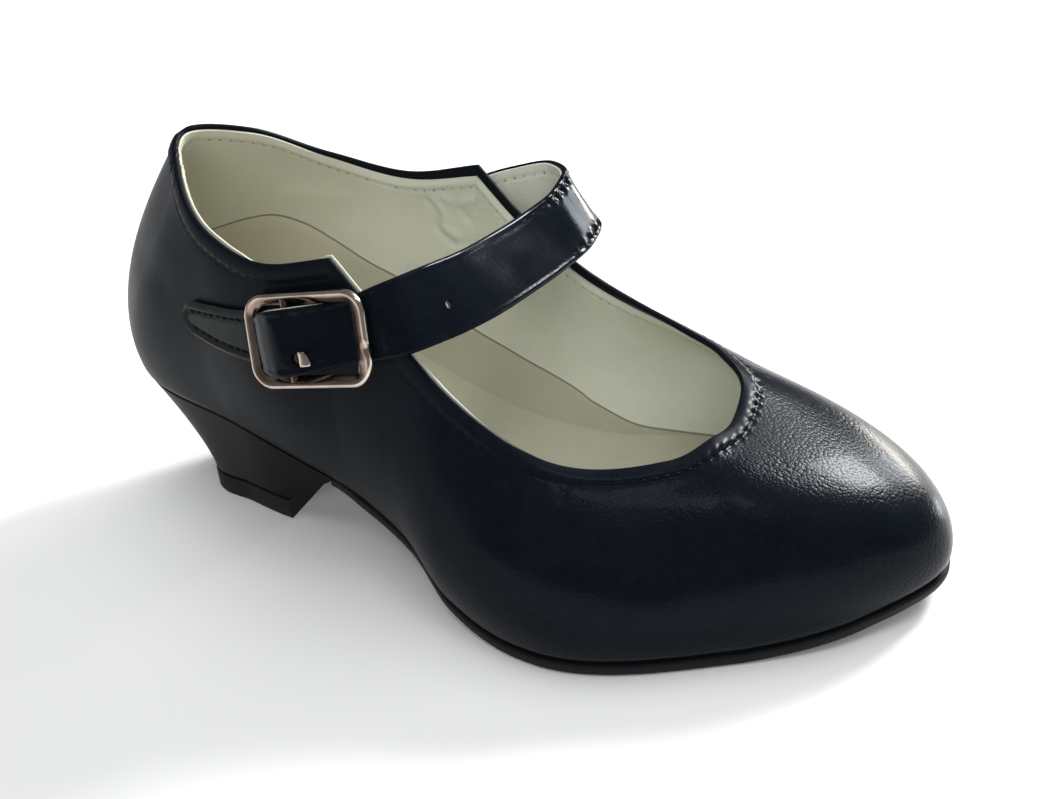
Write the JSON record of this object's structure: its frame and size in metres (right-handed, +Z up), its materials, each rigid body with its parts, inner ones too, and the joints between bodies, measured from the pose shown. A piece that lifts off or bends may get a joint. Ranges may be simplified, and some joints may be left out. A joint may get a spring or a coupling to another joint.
{
  "type": "flamenco shoe",
  "caption": "Child's flamenco shoe for the right foot: rounded toe, open throat, instep strap with a buckle, low raked block heel, thin sole.",
  "frame": {"origin": "on the floor, under the middle of the shoe's bounding box", "axes": "+X towards the toe, +Y towards the inner side of the foot, +Z up from the floor"},
  "size_m": [0.1706, 0.0776, 0.0762],
  "materials": {
    "black_leather": "grained, satin gloss",
    "black_sole": "matte",
    "heel_finish": "satin",
    "cream_sock": "matte",
    "warm_nickel": "polished"
  },
  "bodies": {
    "root": {"upper": "black_leather", "outsole": "black_sole", "heel": "heel_finish", "heel_lift": "black_sole", "insole": "cream_sock", "strap": "black_leather", "buckle_frame": "warm_nickel", "buckle_prong": "warm_nickel", "buckle_tab": "black_leather"}
  },
  "joints": []
}
